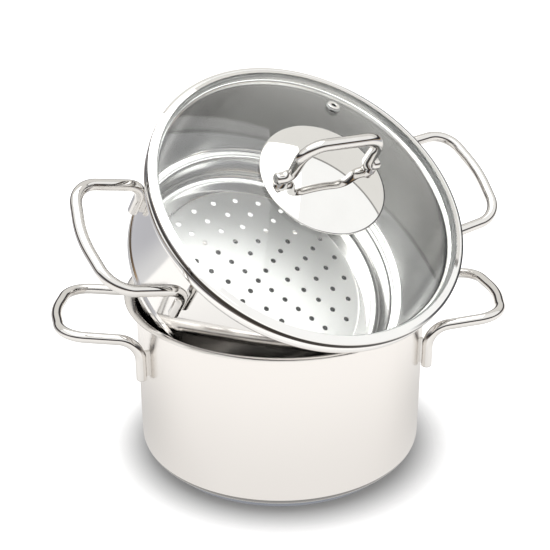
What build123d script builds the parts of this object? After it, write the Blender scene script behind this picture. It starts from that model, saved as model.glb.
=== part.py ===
from build123d import *
import os
from math import asin, cos, degrees, radians, sin, sqrt

os.makedirs("parts", exist_ok=True)

# A steamer pot: a lidded steaming basket leaning in the mouth of a two-handled pot.
# The pot stands on the floor with its axis on Z and its handles along X.

# Pot body
pot_bore_radius = 100.0
sheet_thickness = 0.8
pot_rim_radius = 108.5
pot_rim_edge_height = 120.2
pot_flare_radius = 6.0
pot_corner_radius = 9.0

# Three-layer base under the pot
base_cap_thickness = 0.8
base_core_thickness = 4.0
base_radius = 91.4
base_edge_radius = 1.2

# Rod handles, shared by the pot and the basket
handle_rod_radius = 3.7
handle_leg_radius = 105.8
handle_leg_spacing = 79.6
handle_bar_spacing = 77.8
handle_bow = 7.1
handle_bow_radius = 70.0
handle_leg_bend_radius = 15.7
handle_corner_radius = 19.7

# Pot handles
pot_handle_reach = 51.4
pot_leg_foot_height = 73.5
pot_leg_length = 29.6
pot_handle_rise = 6.1

# Weld pads between the legs and the walls
pad_width = 3.2
pad_length = 18.0
pad_foot_gap = 3.0

# Basket body, heights above its underside
basket_wall_radius = 101.0
basket_neck_radius = 96.0
basket_corner_radius = 8.0
basket_neck_top = 20.0
basket_shoulder_radius = 2.0
basket_bead_radius = 102.2
basket_bead_height = 25.5
basket_bead_top = 29.0
basket_rim_radius = 109.8
basket_rim_height = 95.35
basket_floor_step = 0.7
basket_floor_disc_radius = 78.3
basket_step_width = 1.4

# Holes in the basket floor
floor_hole_radius = 2.05
floor_ring_spacing = 11.8
floor_ring_count = 6
floor_hole_phase = 35.2
holes_per_step = 4

# Basket handles
basket_handle_reach = 50.6
basket_leg_foot_height = 52.1
basket_leg_length = 28.7
basket_handle_rise = 11.4
basket_leg_radius = 106.0
basket_handle_set_back = 2.0

# How the basket leans in the pot
lean_angle = 37.0
lean_azimuth = -59.8
basket_turn = 85.4
basket_rest_x = -13.6
basket_rest_y = 25.4
basket_rest_drop = 6.8

# Lid, seated on the basket's rim
lid_seat_clearance = 0.3
lid_rim_overhang = 0.6
lid_rim_cover = 1.55
lid_rim_shoulder_drop = 1.5
lid_rim_foot_rise = 1.25
lid_rim_chamfer = 1.2
lid_rim_band_width = 5.8
lid_rim_side_thickness = 1.6
lid_rim_foot_inset = 2.1
lid_rim_flange_thickness = 0.5
glass_dome_radius = 273.5
glass_edge_clearance = 0.08
glass_thickness = 3.2
glass_rim_clearance = 0.2
rim_seal_inner_step = 0.4
rim_seal_outer_step = 1.0
seal_play = 0.1

# Plate on top of the glass, more domed than the glass
plate_dome_radius = 120.0
plate_radius = 43.2
plate_thickness = 0.8
plate_seal_radius = 41.6
plate_seal_inner_radius = 37.0
plate_seal_thickness = 0.6

# Lid handle
lid_handle_rod_radius = 4.0
lid_handle_leg_spacing = 57.0
lid_handle_foot_spacing = 79.0
lid_handle_foot_gap = 0.4
lid_handle_rise = 28.9
lid_handle_foot_bend_radius = 6.5
lid_handle_corner_radius = 13.0
lid_handle_end_rounding = 1.0

# Fixings of the lid handle
fixing_spacing = 68.0
spacer_radius = 4.6
screw_radius = 2.0
screw_head_radius = 3.9
screw_head_height = 2.4
screw_tip_share = 0.2
bush_radius = 6.0
bush_thickness = 2.0
glass_hole_radius = 3.0
head_rounding = 0.8

# Steam vent in the glass
vent_radius_from_axis = 74.0
vent_azimuth = 55.0
vent_hole_radius = 3.0
vent_bore_radius = 1.8
vent_flange_radius = 4.6
vent_flange_thickness = 1.3
vent_lower_flange_radius = 4.2
vent_lower_flange_thickness = 0.8
vent_seal_thickness = 0.5
vent_seal_radius = 4.9
vent_rounding = 0.5
vent_play = 0.1

pot_wall_radius = pot_bore_radius + sheet_thickness
pot_underside = base_cap_thickness + base_core_thickness
pot_floor = pot_underside + sheet_thickness


def rod_path(plane, leg_radius, spacing, bar_spacing, foot, leg, rise, reach):
    """Centreline of a rod handle that leaves the axis along the plane's X."""
    half = spacing / 2
    half_bar = bar_spacing / 2
    leg_x = sqrt(leg_radius**2 - half**2)
    corner = foot + leg
    bar_x = leg_x + reach
    bar = corner + rise
    points = [
        (leg_x, half, foot),
        (leg_x, half, corner),
        (bar_x, half_bar, bar),
        (bar_x + handle_bow, 0, bar),
        (bar_x, -half_bar, bar),
        (leg_x, -half, corner),
        (leg_x, -half, foot),
    ]
    radii = [
        handle_leg_bend_radius,
        handle_corner_radius,
        handle_bow_radius,
        handle_corner_radius,
        handle_leg_bend_radius,
    ]
    with BuildLine(plane) as path:
        FilletPolyline(*points, radius=radii)
    return path.line


def rod(path, radius):
    """Round rod along a path."""
    with BuildPart() as bar:
        with BuildSketch(Plane(origin=path @ 0, z_dir=path % 0)):
            Circle(radius)
        sweep(path=path)
    return bar.part


def turned(plane, angle):
    """The same plane turned about its own normal."""
    x_dir = plane.x_dir.rotate(Axis((0, 0, 0), plane.z_dir), angle)
    return Plane(origin=plane.origin, x_dir=x_dir, z_dir=plane.z_dir)


def section_of(plane):
    """Half-section plane: its X is the radius and its Y the height."""
    return Plane(origin=plane.origin, x_dir=plane.x_dir, z_dir=-plane.y_dir)


def save(piece, name):
    """Name a finished piece and write it out."""
    piece.label = name
    export_step(piece, f"parts/{name}.step")


def split_piece(shell, plane, name, low, high, radius, core_radius=0):
    """Save the part of a turned shell between two heights and two radii."""
    with BuildPart() as cell:
        with BuildSketch(plane.offset(low)):
            Circle(radius)
            if core_radius:
                Circle(core_radius, mode=Mode.SUBTRACT)
        extrude(amount=high - low)
    with BuildPart() as piece:
        add(shell)
        add(cell.part, mode=Mode.INTERSECT)
    save(piece.part, name)


def weld_pad(plane, leg_radius, spacing, side, foot, wall_radius):
    """Small pad that joins one leg of a rod handle to the wall it stands against."""
    leg_angle = degrees(asin(spacing / 2 / leg_radius)) * side
    leg_plane = turned(plane, leg_angle)
    pad_foot = foot + pad_foot_gap
    gap = leg_radius - wall_radius
    with BuildPart() as pad:
        with BuildSketch(leg_plane.offset(pad_foot)):
            with Locations((wall_radius + gap / 2, 0)):
                Rectangle(gap, pad_width)
        extrude(amount=pad_length)
        with BuildSketch(leg_plane.offset(pad_foot)):
            Circle(wall_radius)
            with Locations((leg_radius, 0)):
                Circle(handle_rod_radius)
        extrude(amount=pad_length, mode=Mode.SUBTRACT)
    return pad.part


pot_plane = Plane.XY

# Pot wall and floor, one sheet with a flared rim
flare_centre = (pot_bore_radius + pot_flare_radius, pot_rim_edge_height - pot_flare_radius)
flare_outer = pot_flare_radius
flare_inner = pot_flare_radius - sheet_thickness
flare_end = degrees(asin(sqrt(1 - ((pot_rim_radius - flare_centre[0]) / flare_outer) ** 2)))
flare_sweep = 180 - flare_end
corner_inner = pot_corner_radius - sheet_thickness
corner_x = pot_wall_radius - pot_corner_radius
corner_z = pot_underside + pot_corner_radius
with BuildPart() as pot_shell:
    with BuildSketch(Plane.XZ):
        with BuildLine():
            Line((0, pot_underside), (corner_x, pot_underside))
            CenterArc((corner_x, corner_z), pot_corner_radius, 270, 90)
            Line((pot_wall_radius, corner_z), (pot_wall_radius, flare_centre[1]))
            under = CenterArc(flare_centre, flare_inner, 180, -flare_sweep)
            upper = CenterArc(flare_centre, flare_outer, 180, -flare_sweep)
            Line(under @ 1, upper @ 1)
            Line((pot_bore_radius, flare_centre[1]), (pot_bore_radius, corner_z))
            CenterArc((corner_x, corner_z), corner_inner, 0, -90)
            Line((corner_x, pot_floor), (0, pot_floor))
            Line((0, pot_floor), (0, pot_underside))
        make_face()
    revolve(axis=Axis.Z)

# The same sheet in three nodes: flat floor, wall with its rounded foot, flared rim
split_piece(pot_shell.part, pot_plane, "pot_floor", 0, pot_floor, corner_x)
split_piece(pot_shell.part, pot_plane, "pot_wall", 0, flare_centre[1], pot_rim_radius, corner_x)
split_piece(
    pot_shell.part, pot_plane, "pot_rim", flare_centre[1], pot_rim_edge_height, pot_rim_radius
)

# Heat-spreading disc and the thin cap that closes the base round it
with BuildPart() as pot_base_core:
    with BuildSketch(Plane.XY.offset(base_cap_thickness)):
        Circle(base_radius - base_cap_thickness)
    extrude(amount=base_core_thickness)
save(pot_base_core.part, "pot_base_core")

with BuildPart() as pot_base_cap:
    with BuildSketch():
        Circle(base_radius)
    extrude(amount=pot_underside)
    fillet(pot_base_cap.edges().group_by(Axis.Z)[0], base_edge_radius)
    with BuildSketch(Plane.XY.offset(base_cap_thickness)):
        Circle(base_radius - base_cap_thickness)
    extrude(amount=base_core_thickness, mode=Mode.SUBTRACT)
save(pot_base_cap.part, "pot_base_cap")

# Pot handles, right along +X and left along -X, each on two welded legs
for side_name, handle_azimuth in (("right", 0), ("left", 180)):
    handle_plane = turned(pot_plane, handle_azimuth)
    path = rod_path(
        handle_plane,
        handle_leg_radius,
        handle_leg_spacing,
        handle_bar_spacing,
        pot_leg_foot_height,
        pot_leg_length,
        pot_handle_rise,
        pot_handle_reach,
    )
    save(rod(path, handle_rod_radius), f"pot_handle_{side_name}")
    for end_name, side in (("a", 1), ("b", -1)):
        pad = weld_pad(
            handle_plane,
            handle_leg_radius,
            handle_leg_spacing,
            side,
            pot_leg_foot_height,
            pot_wall_radius,
        )
        save(pad, f"pot_pad_{side_name}_{end_name}")

# Frame of the leaning basket: Z is its axis, X runs to its right handle
lean_plane = Plane(
    origin=(basket_rest_x, basket_rest_y, pot_rim_edge_height - basket_rest_drop),
    x_dir=Vector(1, 0, 0).rotate(Axis.Y, lean_angle).rotate(Axis.Z, lean_azimuth),
    z_dir=Vector(0, 0, 1).rotate(Axis.Y, lean_angle).rotate(Axis.Z, lean_azimuth),
)
basket_plane = turned(lean_plane, basket_turn)
basket_axis = Axis(basket_plane.origin, basket_plane.z_dir)
basket_section = section_of(basket_plane)

# Basket wall, seat bead, neck and floor, one sheet with a rolled rim
basket_bore = basket_wall_radius - sheet_thickness
neck_bore = basket_neck_radius - sheet_thickness
bead_bore = basket_bead_radius - sheet_thickness
roll_radius = (basket_rim_radius - basket_bore) / 2
roll_centre = (basket_bore + roll_radius, basket_rim_height)
basket_corner_x = basket_neck_radius - basket_corner_radius
basket_corner_inner = basket_corner_radius - sheet_thickness
step_foot = basket_floor_disc_radius + basket_step_width
shoulder_top = basket_neck_top + basket_shoulder_radius
shoulder_x = basket_neck_radius + basket_shoulder_radius
bead_mid_low = (basket_bead_radius, shoulder_top + basket_shoulder_radius)
with BuildPart() as basket_shell:
    with BuildSketch(basket_section):
        with BuildLine():
            outer = Polyline(
                (0, basket_floor_step),
                (basket_floor_disc_radius, basket_floor_step),
                (step_foot, 0),
                (basket_corner_x, 0),
            )
            CenterArc((basket_corner_x, basket_corner_radius), basket_corner_radius, 270, 90)
            Line((basket_neck_radius, basket_corner_radius), (basket_neck_radius, basket_neck_top))
            shoulder = CenterArc((shoulder_x, basket_neck_top), basket_shoulder_radius, 180, -90)
            Polyline(
                shoulder @ 1,
                bead_mid_low,
                (basket_bead_radius, basket_bead_height),
                (basket_wall_radius, basket_bead_top),
                (basket_wall_radius, basket_rim_height),
            )
            under = CenterArc(roll_centre, roll_radius - sheet_thickness, 180, -180)
            upper = CenterArc(roll_centre, roll_radius, 180, -180)
            Line(under @ 1, upper @ 1)
            Polyline(
                (basket_bore, basket_rim_height),
                (basket_bore, basket_bead_top),
                (bead_bore, basket_bead_height),
                (bead_bore, bead_mid_low[1]),
                (shoulder_x, shoulder_top + sheet_thickness),
            )
            inner_shoulder = CenterArc(
                (shoulder_x, basket_neck_top), basket_shoulder_radius + sheet_thickness, 90, 90
            )
            Line((neck_bore, basket_neck_top), (neck_bore, basket_corner_radius))
            CenterArc((basket_corner_x, basket_corner_radius), basket_corner_inner, 0, -90)
            Polyline(
                (basket_corner_x, sheet_thickness),
                (step_foot, sheet_thickness),
                (basket_floor_disc_radius, sheet_thickness + basket_floor_step),
                (0, sheet_thickness + basket_floor_step),
                (0, basket_floor_step),
            )
        make_face()
    revolve(axis=basket_axis)
    with BuildSketch(basket_plane):
        Circle(floor_hole_radius)
        for ring in range(1, floor_ring_count + 1):
            with PolarLocations(floor_ring_spacing * ring, holes_per_step * ring, floor_hole_phase):
                Circle(floor_hole_radius)
    extrude(amount=basket_corner_radius, mode=Mode.SUBTRACT)

# The same sheet in four nodes: floor, neck with the seat bead, wall, rolled rim
rim_end = basket_rim_height + roll_radius
split_piece(basket_shell.part, basket_plane, "steamer_floor", 0, basket_neck_top, basket_corner_x)
split_piece(
    basket_shell.part,
    basket_plane,
    "steamer_neck",
    0,
    basket_bead_top,
    basket_bead_radius,
    basket_corner_x,
)
split_piece(
    basket_shell.part,
    basket_plane,
    "steamer_wall",
    basket_bead_top,
    basket_rim_height,
    basket_wall_radius,
)
split_piece(
    basket_shell.part, basket_plane, "steamer_rim", basket_rim_height, rim_end, basket_rim_radius
)

# Basket handles, both set a little towards the back of the basket
for side_name, handle_azimuth in (
    ("right", basket_handle_set_back),
    ("left", 180 - basket_handle_set_back),
):
    handle_plane = turned(basket_plane, handle_azimuth)
    path = rod_path(
        handle_plane,
        basket_leg_radius,
        handle_leg_spacing,
        handle_bar_spacing,
        basket_leg_foot_height,
        basket_leg_length,
        basket_handle_rise,
        basket_handle_reach,
    )
    save(rod(path, handle_rod_radius), f"steamer_handle_{side_name}")
    for end_name, side in (("a", 1), ("b", -1)):
        pad = weld_pad(
            handle_plane,
            basket_leg_radius,
            handle_leg_spacing,
            side,
            basket_leg_foot_height,
            basket_wall_radius,
        )
        save(pad, f"steamer_pad_{side_name}_{end_name}")

# Lid, seated on the rolled rim of the basket and leaning with it
lid_rim_radius = basket_rim_radius + lid_rim_overhang
lid_rim_top_inner_radius = lid_rim_radius - lid_rim_band_width
lid_rim_channel_radius = lid_rim_radius - lid_rim_side_thickness
lid_rim_foot_inner_radius = basket_bore + lid_rim_foot_inset
glass_radius = lid_rim_channel_radius - glass_rim_clearance
rim_seal_inner_radius = lid_rim_foot_inner_radius + rim_seal_inner_step
rim_seal_outer_radius = glass_radius - rim_seal_outer_step
glass_inner = glass_dome_radius - glass_thickness
lid_foot = rim_end + lid_seat_clearance
flange_top = lid_foot + lid_rim_flange_thickness
glass_edge_foot = flange_top + glass_edge_clearance
dome_centre = glass_edge_foot - sqrt(glass_inner**2 - glass_radius**2)
glass_apex = dome_centre + glass_dome_radius
plate_inner = plate_dome_radius - plate_thickness


def dome_height(dome_radius, at_radius, centre=dome_centre):
    """Height of a dome at a distance from the axis."""
    return centre + sqrt(dome_radius**2 - at_radius**2)


def dome_shell(low, high, rim_radius, centre=dome_centre):
    """Round cap between two domes that share one centre."""
    with BuildPart() as cap:
        with BuildSketch(basket_section):
            with BuildLine():
                low_rim = (rim_radius, dome_height(low, rim_radius, centre))
                high_rim = (rim_radius, dome_height(high, rim_radius, centre))
                RadiusArc(low_rim, (0, centre + low), -low)
                RadiusArc(high_rim, (0, centre + high), -high)
                Line(low_rim, high_rim)
                Line((0, centre + low), (0, centre + high))
            make_face()
        revolve(axis=basket_axis)
    return cap.part


def lid_fixings(radius, low, high):
    """Two round pins at the places where the handle is screwed down."""
    with BuildPart() as pins:
        with BuildSketch(basket_plane.offset(low)):
            with GridLocations(fixing_spacing, 0, 2, 1):
                Circle(radius)
        extrude(amount=high - low)
    return pins.part


def at_fixing(side):
    """Upright plane frame through one fixing of the handle."""
    return Plane(
        origin=basket_plane.from_local_coords((side * fixing_reach, 0, 0)),
        x_dir=basket_plane.x_dir,
        z_dir=basket_plane.z_dir,
    )


# Heights at the fixings, from the domes of the glass and of the plate
fixing_reach = fixing_spacing / 2
bush_foot_height = dome_height(glass_inner, fixing_reach) - bush_thickness
plate_edge_foot = dome_height(glass_dome_radius, plate_seal_radius) + plate_seal_thickness
plate_centre = plate_edge_foot - sqrt(plate_inner**2 - plate_seal_radius**2)
plate_at_fixing = dome_height(plate_dome_radius, fixing_reach, plate_centre)
foot_underside = plate_at_fixing + lid_handle_foot_gap
lid_handle_foot_height = foot_underside + lid_handle_rod_radius
bush_head_height = dome_height(glass_inner, fixing_reach - bush_radius)
lid_handle_bar_height = lid_handle_foot_height + lid_handle_rise

vent_height = dome_height(glass_dome_radius, vent_radius_from_axis)
vent_x = vent_radius_from_axis * cos(radians(vent_azimuth))
vent_y = vent_radius_from_axis * sin(radians(vent_azimuth))
vent_point = basket_plane.from_local_coords((vent_x, vent_y, vent_height))
vent_root = basket_plane.from_local_coords((0, 0, dome_centre))
vent_plane = Plane(origin=vent_point, z_dir=vent_point - vent_root)
vent_axis = Axis(vent_plane.origin, vent_plane.z_dir)

with BuildPart() as lid_glass:
    add(dome_shell(glass_inner, glass_dome_radius, glass_radius))
    add(lid_fixings(glass_hole_radius, bush_foot_height, glass_apex), mode=Mode.SUBTRACT)
    with BuildSketch(vent_plane):
        Circle(vent_hole_radius)
    extrude(amount=-2 * glass_thickness, mode=Mode.SUBTRACT)
save(lid_glass.part, "lid_glass")

# Steel band round the edge of the glass, with a soft seal under the glass
band_crown_radius = (lid_rim_radius + lid_rim_top_inner_radius) / 2
band_crown = dome_height(glass_dome_radius, band_crown_radius) + lid_rim_cover
band_top_mid = (band_crown_radius, band_crown)
band_side_top = (lid_rim_radius, band_crown - lid_rim_shoulder_drop)
band_top_end = (
    lid_rim_top_inner_radius,
    dome_height(glass_dome_radius, lid_rim_top_inner_radius) + plate_thickness / 4,
)
with BuildPart() as lid_rim:
    with BuildSketch(basket_section):
        with BuildLine():
            Polyline(
                (lid_rim_foot_inner_radius, lid_foot),
                (lid_rim_radius - lid_rim_chamfer, lid_foot),
                (lid_rim_radius, lid_foot + lid_rim_foot_rise),
                band_side_top,
            )
            ThreePointArc(band_side_top, band_top_mid, band_top_end)
            Polyline(
                band_top_end,
                (lid_rim_top_inner_radius, flange_top),
                (lid_rim_foot_inner_radius, flange_top),
                (lid_rim_foot_inner_radius, lid_foot),
            )
        make_face()
        with BuildLine():
            channel_top = (
                lid_rim_channel_radius,
                dome_height(glass_dome_radius, lid_rim_channel_radius),
            )
            channel_start = (
                lid_rim_top_inner_radius,
                dome_height(glass_dome_radius, lid_rim_top_inner_radius),
            )
            RadiusArc(channel_top, channel_start, -glass_dome_radius)
            Polyline(
                channel_start,
                (lid_rim_top_inner_radius, flange_top),
                (lid_rim_channel_radius, flange_top),
                channel_top,
            )
        make_face(mode=Mode.SUBTRACT)
    revolve(axis=basket_axis)
save(lid_rim.part, "lid_rim")

seal_dome = glass_inner - seal_play
seal_outer_top = (rim_seal_outer_radius, dome_height(seal_dome, rim_seal_outer_radius))
seal_inner_top = (rim_seal_inner_radius, dome_height(seal_dome, rim_seal_inner_radius))
with BuildPart() as lid_rim_seal:
    with BuildSketch(basket_section):
        with BuildLine():
            RadiusArc(seal_outer_top, seal_inner_top, -seal_dome)
            Polyline(
                seal_inner_top,
                (rim_seal_inner_radius, flange_top),
                (rim_seal_outer_radius, flange_top),
                seal_outer_top,
            )
        make_face()
    revolve(axis=basket_axis)
save(lid_rim_seal.part, "lid_rim_seal")

# Mirror-polished plate on a soft seal ring, under the feet of the lid handle
seal_inner = plate_seal_inner_radius
ring_foot_outer = (plate_seal_radius, dome_height(glass_dome_radius, plate_seal_radius))
ring_foot_inner = (seal_inner, dome_height(glass_dome_radius, seal_inner))
ring_dome = plate_inner - seal_play
ring_top_outer = (plate_seal_radius, dome_height(ring_dome, plate_seal_radius, plate_centre))
ring_top_inner = (seal_inner, dome_height(ring_dome, seal_inner, plate_centre))
with BuildPart() as lid_plate_seal:
    with BuildSketch(basket_section):
        with BuildLine():
            RadiusArc(ring_foot_outer, ring_foot_inner, -glass_dome_radius)
            RadiusArc(ring_top_outer, ring_top_inner, -ring_dome)
            Line(ring_foot_outer, ring_top_outer)
            Line(ring_foot_inner, ring_top_inner)
        make_face()
    revolve(axis=basket_axis)
save(lid_plate_seal.part, "lid_plate_seal")

with BuildPart() as lid_plate:
    add(dome_shell(plate_inner, plate_dome_radius, plate_radius, plate_centre))
    add(lid_fixings(screw_radius, bush_foot_height, lid_handle_foot_height), mode=Mode.SUBTRACT)
save(lid_plate.part, "lid_plate")

# Lid handle, a rod whose two feet turn outwards over the plate
half_leg = lid_handle_leg_spacing / 2
half_foot = lid_handle_foot_spacing / 2
screw_tip = lid_handle_foot_height + lid_handle_rod_radius * screw_tip_share
with BuildLine(basket_plane) as lid_handle_path:
    FilletPolyline(
        (half_foot, 0, lid_handle_foot_height),
        (half_leg, 0, lid_handle_foot_height),
        (half_leg, 0, lid_handle_bar_height),
        (-half_leg, 0, lid_handle_bar_height),
        (-half_leg, 0, lid_handle_foot_height),
        (-half_foot, 0, lid_handle_foot_height),
        radius=[
            lid_handle_foot_bend_radius,
            lid_handle_corner_radius,
            lid_handle_corner_radius,
            lid_handle_foot_bend_radius,
        ],
    )
with BuildPart() as lid_handle:
    add(rod(lid_handle_path.line, lid_handle_rod_radius))
    ends = lid_handle.faces().filter_by(GeomType.PLANE).edges()
    fillet(ends, lid_handle_end_rounding)
    add(lid_fixings(screw_radius, bush_foot_height, screw_tip), mode=Mode.SUBTRACT)
save(lid_handle.part, "lid_handle")

# Spacers, screws and bushes that clamp the handle through the glass
for side_name, side in (("right", 1), ("left", -1)):
    fixing_plane = at_fixing(side)
    with BuildPart() as spacer:
        with BuildSketch(fixing_plane.offset(plate_edge_foot)):
            Circle(spacer_radius)
            Circle(screw_radius, mode=Mode.SUBTRACT)
        extrude(amount=lid_handle_foot_height - plate_edge_foot)
        add(
            dome_shell(plate_radius, plate_dome_radius, plate_radius, plate_centre),
            mode=Mode.SUBTRACT,
        )
        add(rod(lid_handle_path.line, lid_handle_rod_radius), mode=Mode.SUBTRACT)
    save(spacer.part, f"lid_spacer_{side_name}")

    with BuildPart() as bush:
        with BuildSketch(fixing_plane.offset(bush_foot_height)):
            Circle(bush_radius)
            Circle(screw_radius, mode=Mode.SUBTRACT)
        extrude(amount=bush_head_height - bush_foot_height)
        add(dome_shell(glass_inner, glass_dome_radius, glass_radius), mode=Mode.SUBTRACT)
    save(bush.part, f"lid_bush_{side_name}")

    with BuildPart() as screw:
        with BuildSketch(fixing_plane.offset(bush_foot_height - screw_head_height)):
            Circle(screw_head_radius)
        extrude(amount=screw_head_height)
        fillet(screw.faces().sort_by(basket_axis)[0].edges(), head_rounding)
        with BuildSketch(fixing_plane.offset(bush_foot_height)):
            Circle(screw_radius)
        extrude(amount=screw_tip - bush_foot_height)
    save(screw.part, f"lid_screw_{side_name}")

# Steam vent: a flanged eyelet through the glass on a thin seal
flange_foot = vent_seal_thickness
flange_head = flange_foot + vent_flange_thickness
lower_top = -glass_thickness - vent_play
lower_foot = lower_top - vent_lower_flange_thickness
with BuildPart() as vent_eyelet:
    with BuildSketch(vent_plane.offset(lower_foot)):
        Circle(vent_lower_flange_radius)
    extrude(amount=vent_lower_flange_thickness)
    with BuildSketch(vent_plane.offset(lower_top)):
        Circle(vent_hole_radius)
    extrude(amount=flange_foot - lower_top)
    with BuildSketch(vent_plane.offset(flange_foot)):
        Circle(vent_flange_radius)
    extrude(amount=vent_flange_thickness)
    fillet(vent_eyelet.faces().sort_by(vent_axis)[-1].edges(), vent_rounding)
    with BuildSketch(vent_plane.offset(lower_foot)):
        Circle(vent_bore_radius)
    extrude(amount=flange_head - lower_foot, mode=Mode.SUBTRACT)
save(vent_eyelet.part, "vent_eyelet")

with BuildPart() as vent_seal:
    with BuildSketch(vent_plane):
        Circle(vent_seal_radius)
        Circle(vent_hole_radius, mode=Mode.SUBTRACT)
    extrude(amount=flange_foot)
    add(dome_shell(glass_inner, glass_dome_radius, glass_radius), mode=Mode.SUBTRACT)
save(vent_seal.part, "vent_seal")
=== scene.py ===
import bpy
import bmesh
from math import ceil, cos, degrees, pi, radians, sin, sqrt, tan
from mathutils import Matrix, Vector


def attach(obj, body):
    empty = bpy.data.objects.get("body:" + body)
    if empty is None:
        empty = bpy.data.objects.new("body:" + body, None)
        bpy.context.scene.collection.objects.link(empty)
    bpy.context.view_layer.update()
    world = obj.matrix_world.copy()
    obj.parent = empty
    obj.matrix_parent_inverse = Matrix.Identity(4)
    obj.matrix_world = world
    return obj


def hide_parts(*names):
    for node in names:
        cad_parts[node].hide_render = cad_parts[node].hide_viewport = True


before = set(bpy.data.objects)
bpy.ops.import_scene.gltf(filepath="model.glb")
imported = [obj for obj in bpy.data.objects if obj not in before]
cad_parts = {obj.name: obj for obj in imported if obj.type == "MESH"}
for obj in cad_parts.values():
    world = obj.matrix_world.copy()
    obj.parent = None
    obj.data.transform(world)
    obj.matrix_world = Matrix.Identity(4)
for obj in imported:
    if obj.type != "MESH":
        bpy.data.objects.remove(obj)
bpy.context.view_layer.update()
mm = 0.001
print("frame loaded,", len(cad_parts), "CAD nodes")

# What a user would change, one dictionary for each piece, in millimetres and degrees

potBody = {
    "bore": 100.0, "sheet": 0.8, "corner": 9.0, "floorRing": 3.0, "underside": 4.8,
    "flareCentre": (106.0, 114.2), "flare": 6.0, "flareEnd": 69.0, "turns": 320,
}
potBase = {"radius": 91.4, "height": 4.8, "foot": 1.2, "topEdge": 0.3, "turns": 320}
potHandle = {
    "rod": 3.7, "legRadius": 105.8, "legSpacing": 79.6, "barSpacing": 77.8, "bow": 7.1,
    "foot": 73.5, "leg": 29.6, "rise": 6.1, "reach": 51.4,
    "bends": (15.7, 19.7, 70.0, 19.7, 15.7), "endRounding": 1.4, "facets": 40,
}
basketPose = {"origin": (-13.6, 25.4, 113.4), "lean": 37.0, "azimuth": -59.8, "turn": 85.4}
basketBody = {
    "wall": 101.0, "neck": 96.0, "sheet": 0.8, "corner": 8.0, "neckTop": 20.0, "shoulder": 2.0,
    "bead": 102.2, "beadRound": 1.0, "beadArc": (-60, 50), "beadTop": 25.5, "beadEnd": 29.0,
    "rim": 109.8, "rimHeight": 95.35, "rimCurl": -62.0, "rimSeam": 0.01,
    "floorStep": 0.7, "floorDisc": 78.3, "stepWidth": 1.4, "seam": 76.0, "turns": 320,
}
floorHoles = {"hole": 2.05, "spacing": 11.8, "rings": 6, "phase": 35.2, "facets": 20}
basketHandle = {
    "rod": 3.7, "legRadius": 106.0, "legSpacing": 79.6, "barSpacing": 77.8, "bow": 7.1,
    "foot": 52.1, "leg": 28.7, "rise": 11.4, "reach": 50.6, "setBack": 2.0,
    "bends": (15.7, 19.7, 70.0, 19.7, 15.7), "endRounding": 1.4, "facets": 40,
}
lidGlass = {
    "dome": 273.5, "apex": 127.006, "thickness": 3.2, "radius": 108.6, "edge": 0.8, "turns": 320,
    "drill": (-8.0, 4.0), "drillTurns": 48,
}
lidRim = {
    "foot": 100.45, "radius": 110.4, "chamfer": 1.25, "sideTop": 105.0, "topInner": 104.6,
    "crown": 108.1, "footInner": 102.3, "channel": 108.8, "flange": 0.5, "cover": 1.54, "turns": 320,
    "sideBevel": ((0, -0.2), (-0.35, 0.55)), "crownBevel": ((0.35, -0.05), (-0.1, 0), (-0.6, -0.12)),
    "lipBevel": ((0.12, 0.45), (0, 0.2), (0, 0)),
}
lidPlate = {"radius": 43.2, "dome": 120.0, "apex": 132.718, "thickness": 0.8, "edge": 0.35, "turns": 200}
lidHandle = {
    "rod": 4.0, "legSpacing": 57.0, "footSpacing": 79.0, "footHeight": 132.2, "barHeight": 161.1,
    "footBend": 6.5, "cornerBend": 13.0, "endRounding": 1.6, "facets": 44,
}
vent = {
    "fromAxis": 74.0, "azimuth": 55.0, "hole": 3.0, "bore": 1.8, "boreEdge": 0.4,
    "flange": 4.6, "flangeHeight": 1.3, "flangeEdge": 0.6, "seal": 0.5, "neckPlay": 0.02,
    "lowerFlange": 4.2, "lowerHeight": 0.8, "lowerEdge": 0.25, "play": 0.1, "turns": 64,
}

# How finely everything is divided, in millimetres and degrees, with the weld in metres

meshing = {
    "support": 0.4, "meeting": 1e-4, "arcStep": 7.5, "arcSteps": 6, "weld": 2e-6, "sharp": 38.0,
    "rodSupport": 0.5, "rodStep": 0.9, "rodArcStep": 3.5, "rodArcSteps": 4, "rodSharp": 50.0,
    "endSteps": 6, "endSupport": 0.6, "endClear": 1.2, "leastFlat": 0.02, "softShare": 0.29,
    "onAxis": 1e-6, "outerShare": 0.99,
}

# The camera, in millimetres

cameraView = {
    "place": (-70.5, -699.2, 440.5), "forward": (0.0875, 0.9102, -0.4048), "up": (0.0418, 0.4026, 0.9144),
    "lens": 72.0, "sensor": 36.0, "nearest": 0.05,
}

# The studio, in metres. Reaches are distances from the pot's axis between which a value changes.

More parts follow.
